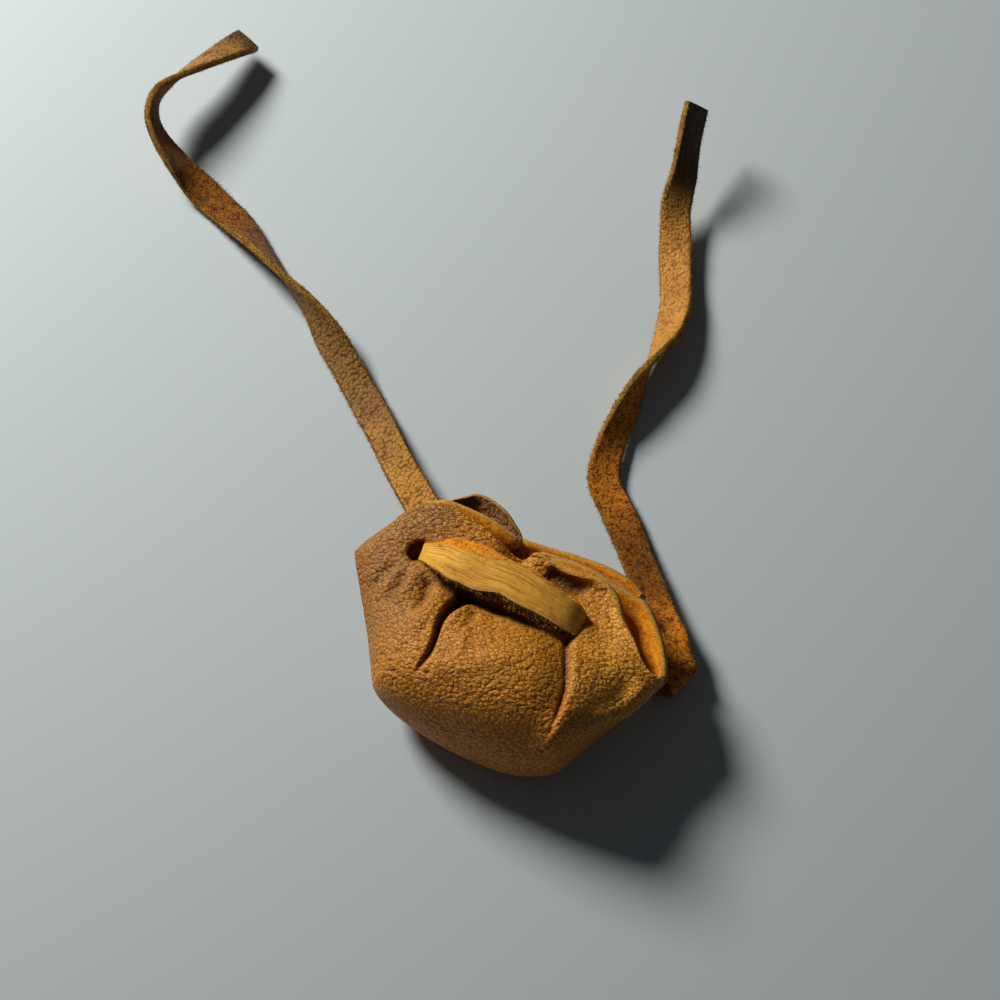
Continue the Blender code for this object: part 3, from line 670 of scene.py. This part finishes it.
# The bridge's route holds its middle points in millimetres, the grain's facings, and its widths in
# millimetres. Its leans are shares of the way along it and how far each cut edge leans there, left and right.
bridge = {
    # Its right edge, the lower one, takes the darker cut edge: painted shade.
    "seed": 15, "cup": 0.10 * mm, "leftKind": suedeSide, "rightKind": paintedShadeSide,
    "leans": (
        ((0, 0.05), (0.22, 0.10), (0.28, 0.34), (0.38, 0.38), (0.45, 0.24), (0.52, 0.08), (1, 0.05)),
        ((0, 0.0), (0.40, 0.0), (0.52, 0.12), (0.70, 0.15), (0.80, 0.10), (1, 0.0)),
    ),
    "route": (
        ((-10.8, 10.15, 6.5), (-0.8, 0.0, -0.6), 6.0), ((-13.5, 9.05, 8.6), (-0.8, 0.0, -0.6), 5.6),
        ((-16.2, 7.85, 11.2), (-1.0, 0.0, -0.1), 4.0), ((-17.0, 7.25, 13.2), (-1.0, 0.0, 0.2), 3.2),
        ((-16.5, 6.95, 15.0), (-0.9, -0.1, 0.5), 3.5), ((-15.1, 6.65, 16.7), (-0.6, -0.1, 0.8), 4.6),
        ((-12.7, 6.25, 18.0), (-0.4, -0.1, 0.9), 6.2), ((-9.8, 5.75, 18.9), (-0.2, -0.1, 1.0), 7.3),
        ((-6.8, 5.35, 19.3), (0.0, -0.1, 1.0), 7.9), ((-1.6, 4.95, 19.5), (0.0, -0.1, 1.0), 7.6),
        ((3.4, 4.25, 19.3), (0.0, -0.1, 1.0), 7.1), ((7.8, 3.45, 18.6), (0.3, -0.1, 1.0), 6.6),
        ((10.6, 3.05, 17.5), (0.6, -0.1, 0.8), 6.1), ((12.0, 2.85, 16.0), (0.9, 0.0, 0.4), 5.8),
        ((12.5, 3.05, 13.8), (1.0, 0.0, 0.1), 5.4), ((13.6, 4.05, 9.4), (0.9, 0.0, 0.4), 5.6),
        ((15.0, 5.45, 6.2), (0.9, 0.0, 0.4), 6.0),
    ),
}


def makeBridge(look):
    points, facings, widths = zip(*look["route"])
    sections = stripSections(np.array(points) * mm, facings, np.array(widths) * mm)
    piece = laceStrip("laceBridge", sections, look, [bridgeGrain, suede, cutEdge, paintedShadeEdge])
    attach(piece, "pouch")
    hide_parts("lace_bridge")
    print("laceBridge made")


makeBridge(bridge)

# The pouch lies with its mouth towards +y. Rims, corner, slits and their dents are in millimetres: the rims
# say how far the undrawn leather stops below the top, and each slit has its middle and its half sizes along
# and across the bridge. Thinning, lobe and pressed each start at one share of the way up and take another.
pouch = {
    "leather": 1.25 * mm, "flatDiameter": 0.092, "rows": 112, "rowSpread": 1.45, "lowest": 0.06 * mm,
    "length": 45.2 * mm, "meanLength": 30.5 * mm, "top": 22.95 * mm, "mouthWidth": 58.0 * mm,
    "bottomLeft": 21.6 * mm, "bottomRight": 8.5 * mm, "bottomOffset": 7.0 * mm, "bottomHeight": 5.6 * mm,
    "belly": 21.6 * mm, "mouth": 16.8 * mm, "thinning": (0.3, 0.5), "sink": 2.4 * mm,
    "cornerRound": (6.5 * mm, 4.0 * mm), "bottomRound": 8.5 * mm,
    "roundness": 0.87, "squarer": 0.25, "squarerFrom": (0.2, 0.5),
    "frontRim": (
        (-29.0, 16.7), (-24.0, 11.2), (-19.4, 6.0), (-14.0, 5.8),
        (-1.8, 9.0), (13.9, 10.2), (23.2, 18.4), (29.0, 22.3),
    ),
    "backRim": (
        (-29.0, 16.7), (-20.0, 8.7), (-13.0, 0.0), (-4.0, 4.4),
        (12.0, 5.0), (21.0, 9.0), (27.3, 17.0), (29.0, 22.3),
    ),
    "leftCorner": (-29.7, 5.65, 9.2), "cornerShare": 0.8,
    "slits": ((-18.1, 7.05, 2.0, 2.0), (11.8, 2.85, 0.9, 2.9)), "slitDent": (2.6, -1.0),
    # The lobe's darkness is painted shade inside the left pleat's first layer.
    "tailRoom": 0.30 * mm, "facingSpread": 2.2, "frontFacing": 0.3, "lobe": (0.75, 0.15), "paintedLobeShade": 0.72,
    "pressedColumns": 22, "pressed": (0.40, 0.2), "pressedTenths": 8,
}
# The rim of the mouth, layer by layer round the loop: front, the two layers of the right pleat, back, and the
# two layers of the left pleat. Each has its columns, its turn round the belly in degrees, the depth of the
# hollow under it from end to end, and its points, both in millimetres.
rimLayers = (
    {"columns": 150, "turn": (180, 0), "hollow": (0.0, 0.0, 0.0, 1.0, 1.4, 0.4, 0.3), "spread": 29.5,
     "points": (
        (-23.6, 12.65, 13.4), (-21.9, 14.15, 14.4), (-20.0, 15.45, 15.2), (-17.6, 16.15, 15.8),
        (-15.0, 16.25, 16.0), (-12.1, 15.45, 16.0), (-9.0, 14.45, 15.8), (-5.9, 13.35, 15.4),
        (-3.8, 12.55, 14.6), (-2.2, 11.95, 13.8), (-0.6, 12.05, 13.4), (0.7, 13.35, 14.6),
        (1.9, 13.25, 15.0), (4.5, 11.75, 15.3), (7.1, 11.05, 15.4), (9.6, 11.35, 15.4),
        (11.9, 11.85, 15.4), (14.5, 11.25, 15.4), (16.6, 9.55, 15.4), (18.3, 7.15, 15.2),
        (21.9, 4.05, 14.8), (25.3, 0.55, 14.2), (27.3, -0.25, 13.8), (29.1, -0.25, 13.4),
    )},
    {"columns": 52, "turn": (0, -14), "hollow": (1.0, 1.5), "points": (
        (29.2, -0.15, 13.3), (27.6, 4.15, 12.8), (24.6, 8.95, 12.6), (21.8, 11.95, 12.4),
        (19.0, 12.75, 12.3), (15.4, 13.45, 12.4), (11.1, 14.65, 12.6), (5.9, 14.65, 12.8),
        (1.6, 13.85, 12.8),
    )},
    {"columns": 36, "turn": (-14, -26), "hollow": (1.2, 1.2), "points": (
        (1.2, 14.85, 11.8), (8.0, 15.25, 11.0), (15.0, 14.05, 10.4), (20.0, 13.05, 9.6),
    )},
    {"columns": 96, "turn": (-26, -140), "hollow": (0.3, 0.3), "points": (
        (20.8, 14.65, 8.6), (19.2, 15.85, 8.6), (16.7, 16.75, 9.0), (12.5, 17.75, 8.8),
        (6.5, 18.0, 8.5), (0.3, 17.65, 8.8), (-3.0, 17.6, 9.2), (-9.0, 18.75, 8.8),
        (-15.0, 18.85, 8.6), (-19.5, 17.65, 8.6),
    )},
    {"columns": 46, "turn": (-140, -160), "hollow": (1.2, 2.0, 1.4), "points": (
        (-20.4, 17.65, 8.0), (-18.0, 18.85, 9.6), (-16.3, 20.05, 10.0), (-14.8, 20.95, 10.0),
        (-12.8, 22.15, 10.0), (-10.1, 21.85, 10.0), (-7.2, 20.65, 10.0), (-5.2, 19.15, 10.0),
        (-3.6, 17.75, 10.0), (-3.0, 16.45, 10.6),
    )},
    {"columns": 40, "turn": (-160, -180), "hollow": (1.2, 1.2, 0.4), "points": (
        (-2.8, 15.45, 12.0), (-3.3, 15.95, 12.6), (-5.7, 16.55, 13.4), (-8.7, 17.25, 13.8),
        (-12.6, 17.65, 14.2), (-15.9, 17.75, 14.4), (-17.9, 17.25, 14.4), (-20.5, 15.85, 13.8),
        (-22.6, 14.05, 13.2),
    )},
)
leftPleat = 4  # the left pleat's first layer

# How the belly is drawn to that rim. A pull starts at one share of the way up and takes another.
gather = {
    "leftnessPower": 5, "cornerPull": (0.45, 0.35), "leftPull": (0.78, 0.22), "leftPower": 1.25,
    "frontPull": (0.40, 0.75), "backSpread": 2.5, "backReach": 12.5 * mm, "backPower": 1.5,
    "acrossPower": 1.15, "hollowBelow": 2.2 / 30.0,
}
# Creases in the front, in millimetres: a line, the width to the left and right of someone who walks along it,
# and the depth, or minus the height of a ridge. Some have painted shade inside them, and some taper towards
# their end.
rightSeam = (
    (11.6, 0.85), (11.8, -0.95), (13.0, -4.55), (14.4, -8.95), (14.6, -12.95), (14.4, -15.85), (13.8, -19.15),
)
leftFold = (
    (-6.4, 3.45), (-7.3, 1.45), (-8.1, -0.65), (-9.0, -3.05), (-9.4, -5.55), (-9.2, -8.35), (-9.2, -11.35),
    (-9.9, -14.2), (-10.4, -16.2),
)
underBridge = ((-13.5, 3.4), (-9.8, 1.9), (-6.8, 1.2), (-1.6, 0.9), (3.4, 0.3), (7.8, -0.3), (11.4, -0.6))
creases = (
    {"line": leftFold, "left": 1.9, "right": 0.9, "depth": 4.0, "paintedShade": 1.9, "taper": 0.70},
    # Besides its groove, this crease carries the bridge's painted shadow on the belly below it.
    {"line": underBridge, "left": 1.4, "right": 1.4, "depth": 1.0, "paintedShade": 1.1},
    {"line": ((-5.2, 2.25), (-6.4, -1.15), (-7.2, -4.15), (-7.2, -8.15)),
     "left": 0.9, "right": 2.4, "depth": -0.80},
    {"line": ((-5.4, -3.25), (-4.0, -8.45), (-3.1, -12.75)),
     "left": 0.8, "right": 1.2, "depth": -0.35},
    {"line": rightSeam, "left": 0.50, "right": 3.2, "depth": 1.1, "paintedShade": 0.12},
    {"line": rightSeam, "left": 0.45, "right": 0.60, "depth": 0.7, "paintedShade": 0.85, "taper": 0.35},
    {"line": ((25.6, -2.15), (23.4, -7.15), (21.0, -11.55), (18.6, -15.55)),
     "left": 3.0, "right": 1.2, "depth": -1.0},
    {"line": ((3.6, 11.05), (6.5, 10.25), (10.0, 10.05), (12.6, 10.25)),
     "left": 0.9, "right": 1.4, "depth": 1.6, "paintedShade": 0.9},
    {"line": ((-18.5, 2.45), (-19.5, -1.15), (-19.9, -4.55)),
     "left": 0.9, "right": 0.8, "depth": 0.90, "paintedShade": 0.25},
    {"line": ((-14.2, 2.45), (-13.9, -1.65), (-14.5, -5.55)),
     "left": 1.1, "right": 0.8, "depth": 1.30, "paintedShade": 0.35},
    {"line": ((-16.4, 3.45), (-17.0, -0.15), (-18.2, -4.55)),
     "left": 1.2, "right": 1.2, "depth": -0.80},
    {"line": ((-21.0, 3.6), (-23.0, 0.6), (-24.0, -3.4)),
     "left": 0.9, "right": 0.8, "depth": 0.60, "paintedShade": 0.2},
    {"line": ((-8.2, -13.5), (-3.0, -12.2), (2.4, -9.6), (6.4, -7.0)),
     "left": 1.6, "right": 1.8, "depth": -0.45},
    {"line": ((-4.2, -1.4), (-4.6, -4.0), (-5.6, -7.6)),
     "left": 0.7, "right": 0.7, "depth": 0.45, "paintedShade": 0.2},
    {"line": ((-11.1, 1.45), (-11.9, -2.15), (-12.7, -7.05), (-12.9, -9.85)),
     "left": 1.6, "right": 1.6, "depth": -0.80},
)
# Shares of a crease's length for coming in, dying away and tapering, and the depth's share of its taper.
creaseEnds = {"comesIn": (-0.05, 1 / 6), "diesAway": 0.4, "tapers": 0.625, "shallower": 0.6}
# Places where the front stands out: across, along, radius and height in millimetres.
swellings = ((21.5, -1.6, 6.0, 1.8), (3.5, -8.15, 6.0, 0.6), (13.5, 2.45, 1.7, 0.9))


# How far below the top the undrawn leather stops, at places across the mouth.
def rimDrop(rim, across):
    line = curveThrough(np.array(rim) * mm, steps=8)
    return np.interp(across, line[:, 0], line[:, 1])


# Where the leather would lie with no pleats: turn goes round the belly, share from the closed bottom to the
# rim. Rounded oblong sections widen upwards, close in a round at the bottom and lie flat on the table.
def bellySurface(turn, share):
    look = pouch
    rightFront = ease(np.cos(turn), *look["squarerFrom"]) * (np.sin(turn) > 0)
    roundness = look["roundness"] - look["squarer"] * rightFront
    side = np.sign(np.cos(turn)) * np.abs(np.cos(turn)) ** roundness
    front = np.sign(np.sin(turn)) * np.abs(np.sin(turn)) ** roundness
    place = look["mouthWidth"] / 2 * side
    drop = np.where(front >= 0, rimDrop(look["frontRim"], place), rimDrop(look["backRim"], place))
    rise = share * (look["length"] - drop)
    meanRise = share * look["meanLength"]
    cornerClose = quarterRound(meanRise / np.where(side < 0, *look["cornerRound"]))
    bottomClose = quarterRound(meanRise / look["bottomRound"])
    bottomHalf = np.where(side < 0, look["bottomLeft"], look["bottomRight"])
    half = bottomHalf + (look["mouthWidth"] / 2 - bottomHalf) * share
    across = look["bottomOffset"] * (1 - share) + half * cornerClose * side
    thickness = look["belly"] + (look["mouth"] - look["belly"]) * ease(share, *look["thinning"])
    low = look["bottomHeight"]
    top = low + (thickness - low) * bottomClose
    bottom = low - (low + look["sink"]) * bottomClose
    height = (top + bottom) / 2 + (top - bottom) / 2 * front
    soft = look["sink"] / 3
    height = np.where(height > soft, height, (np.clip(height, -soft, soft) + soft) ** 2 / (4 * soft))
    return np.stack(np.broadcast_arrays(across, rise + look["top"] - look["length"], height), axis=-1)


# Distance to a line seen from the front, minus on its left, and the share of the line at the nearest point.
def sidewaysOf(points, line):
    curve = curveThrough(np.array(line) * mm, steps=14)
    gap = points[..., None, :2] - curve
    near = (gap ** 2).sum(axis=-1).argmin(axis=-1)
    way = unit(np.gradient(curve, axis=0))[near]
    gap = np.take_along_axis(gap, near[..., None, None], axis=-2)[..., 0, :]
    side = np.sign(gap[..., 0] * way[..., 1] - gap[..., 1] * way[..., 0])
    return np.linalg.norm(gap, axis=-1) * side, near / (len(curve) - 1)


# Square to the steps round and up the pouch; the little that is added keeps a length at the pole.
def surfaceNormals(points):
    around = np.roll(points, -1, axis=1) - np.roll(points, 1, axis=1)
    return unit(np.cross(around, np.gradient(points, axis=0)) + 1e-12)


# Shares of the way from the bottom to the rim: a power of even steps, closest together at the bottom.
def rowShares():
    return (np.linspace(0.0, 1.0, pouch["rows"]) ** pouch["rowSpread"])[:, None]


# The rim loop: evenly spaced points of each layer, their turns round the belly and the hollows under them.
# Half of a front point's turn comes from where it lies across the mouth.
def rimLoop():
    turns, points, hollows = [], [], []
    for layer in rimLayers:
        columns = layer["columns"]
        line = evenly(curveThrough(np.array(layer["points"]) * mm, steps=10), columns)
        turn = np.radians(np.linspace(*layer["turn"], columns, endpoint=False))
        if "spread" in layer:
            across = np.clip(line[:, 0] / (layer["spread"] * mm), -1, 1)
            across = np.sign(across) * np.abs(across) ** gather["acrossPower"]
            turn = 0.5 * turn + 0.5 * np.arccos(across)
        hollow = layer["hollow"]
        turns.append(turn)
        points.append(line)
        hollows.append(np.interp(np.linspace(0, 1, columns), np.linspace(0, 1, len(hollow)), hollow))
    return np.concatenate(turns)[None, :], np.vstack(points)[None], np.concatenate(hollows) * mm


# The belly surface, drawn to its left corner early and to the rim loop late. Under the rim it is hollow: a
# distance times its falling exponential.
def drawnSurface(turn, share, rim, hollow):
    belly = bellySurface(turn, share)
    drawn = bellySurface(turn, np.array([[1.0]]))
    plainCorner = bellySurface(np.array([[np.pi]]), np.array([[pouch["cornerShare"]]]))
    leftness = (np.clip(-np.cos(turn), 0, 1) ** gather["leftnessPower"])[..., None]
    toCorner = leftness * (np.array(pouch["leftCorner"]) * mm - plainCorner)
    toRim = rim - drawn - toCorner
    early = ease(share, *gather["cornerPull"])[..., None]
    backness = smoothStep(np.clip(-np.sin(turn), 0, 1) * gather["backSpread"])
    frontLate = ease(share, *gather["frontPull"]) / ease(1.0, *gather["frontPull"])
    toTop = (drawn[..., 1] - belly[..., 1]) / gather["backReach"]
    backLate = np.clip(1 - toTop, 0, 1) ** gather["backPower"]
    late = (1 - leftness) * (frontLate * (1 - backness) + backLate * backness)[..., None]
    start, length = gather["leftPull"]
    leftLate = np.clip((share - start) / length, 0, 1) ** gather["leftPower"]
    late = late + leftness * leftLate[..., None]
    surface = belly + early * toCorner + late * toRim
    below = (1 - share) / gather["hollowBelow"]
    surface[..., 2] -= hollow * below * np.exp(1 - below)
    return surface


# Relief of the front: each crease is a bell curve of the distance to its line, and each swelling or dent is
# one of the distance to its middle. Also the painted shade inside the creases.
def frontRelief(surface):
    moved = np.zeros(surface.shape[:2])
    paintedShade = np.zeros(surface.shape[:2])
    for crease in creases:
        gap, along = sidewaysOf(surface, crease["line"])
        narrow = crease.get("taper", 0.0) * ease(along, 0.0, creaseEnds["tapers"])
        width = np.where(gap < 0, crease["left"], crease["right"]) * mm * (1 - narrow)
        fade = ease(along, *creaseEnds["comesIn"]) * ease(1 - along, 0.0, creaseEnds["diesAway"])
        hollow = np.exp(-(gap / width) ** 2) * fade
        moved = moved - crease["depth"] * mm * hollow * (1 - creaseEnds["shallower"] * narrow)
        paintedShade = np.maximum(paintedShade, np.minimum(crease.get("paintedShade", 0.0) * hollow, 1.0))
    dents = [(x, y, *pouch["slitDent"]) for x, y, *_ in pouch["slits"]]
    for x, y, radius, height in (*swellings, *dents):
        gap = np.hypot(surface[..., 0] - x * mm, surface[..., 1] - y * mm)
        moved = moved + height * mm * np.exp(-(gap / (radius * mm)) ** 2)
    return moved, paintedShade


# The gathered leather: the drawn belly with the relief of its front moved along the normals. Also how much
# each point faces the front, and its painted shade in creases and inside the left pleat's first layer.
def pouchSurface():
    turn, rim, hollow = rimLoop()
    share = rowShares()
    surface = drawnSurface(turn, share, rim, hollow)
    normal = surfaceNormals(surface)
    facing = smoothStep(normal[..., 2] * pouch["facingSpread"]) * (np.sin(turn) > 0)
    moved, paintedShade = frontRelief(surface)
    surface = surface + normal * (moved * facing)[..., None]
    surface[..., 2] = np.maximum(surface[..., 2], pouch["lowest"])
    start, end = rimLayers[leftPleat]["turn"]
    lobe = ease(share, *pouch["lobe"]) * (np.degrees(turn) < start) * (np.degrees(turn) >= end)
    return surface, facing, paintedShade * facing + pouch["paintedLobeShade"] * lobe


# Tenths of the leather's thickness, fewer where the left pleat is pressed: a flat bell curve over its fold.
def pressedLeather(columns):
    fold = sum(layer["columns"] for layer in rimLayers[:leftPleat])
    away = (np.arange(columns)[None, :] - fold) / pouch["pressedColumns"]
    pressed = np.exp(-away ** 4) * ease(rowShares()[1:], *pouch["pressed"])
    return np.append(np.round(10 - pouch["pressedTenths"] * pressed).ravel(), 10)


# Which quads the slits take: ellipses where the bridge goes in, and oblongs where the tails come out.
def slitQuads(middles, isFront):
    taken = np.zeros(len(middles), bool)
    slits = np.array(pouch["slits"]) * mm
    way = unit(slits[1, :2] - slits[0, :2])
    for x, y, halfAlong, halfAcross in slits:
        gap = middles[:, :2] - (x, y)
        along = (gap @ way) / halfAlong
        across = (gap @ np.array((-way[1], way[0]))) / halfAcross
        taken |= (along ** 2 + across ** 2 < 1) & isFront
    for look in (leftTail, rightTail):
        way = unit((*look["way"], 0.0))
        gap = middles - look["exit"]
        inThickness = np.abs(gap[:, 2]) < lace["thickness"] / 2 + pouch["tailRoom"]
        inWidth = np.abs(gap @ np.cross(way, up)) < lace["width"] / 2 + pouch["tailRoom"]
        taken |= (gap @ way > -look["inside"]) & inThickness & inWidth
    return taken


def makePouch():
    surface, facing, paintedShade = pouchSurface()
    rows, columns = surface.shape[:2]
    points = np.vstack([surface[1:].reshape(-1, 3), surface[0, :1]])
    quads = tubeFaces(rows - 1, columns)
    taken = slitQuads(points[quads].mean(axis=1), facing[1:-1].ravel() > pouch["frontFacing"])
    ring = np.arange(columns)
    pole = fanFaces(len(points) - 1, (ring + 1) % columns, ring)
    faces = quads[~taken].tolist() + pole.tolist()
    piece = putMesh("pouchLeather", points, faces, np.zeros(len(faces)), [grain, suede, cutEdge])
    # The painted shade of the creases and the left pleat goes to the grain's colour as the fold attribute.
    fold = piece.data.attributes.new("fold", "FLOAT", "POINT")
    fold.data.foreach_set("value", np.append(paintedShade[1:].ravel(), 0.0).astype(np.float32))
    tenths = pressedLeather(columns)
    firmness = piece.vertex_groups.new(name="firmness")
    for level in range(11):
        firmness.add(np.nonzero(tenths == level)[0].tolist(), level / 10, "REPLACE")
    wall = piece.modifiers.new("leather", "SOLIDIFY")
    wall.vertex_group = "firmness"
    wall.thickness = pouch["leather"]
    wall.offset = -1.0
    wall.use_rim = True
    wall.use_even_offset = False
    wall.material_offset = 1
    wall.material_offset_rim = 2
    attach(piece, "pouch")
    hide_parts("pouch_body")
    first, second, third, fourth = (points[quads[:, k]] for k in range(4))
    area = np.linalg.norm(np.cross(third - first, fourth - second), axis=1).sum() / 2
    print("pouchLeather made,", round(area * 1e6), "square mm of leather")


makePouch()
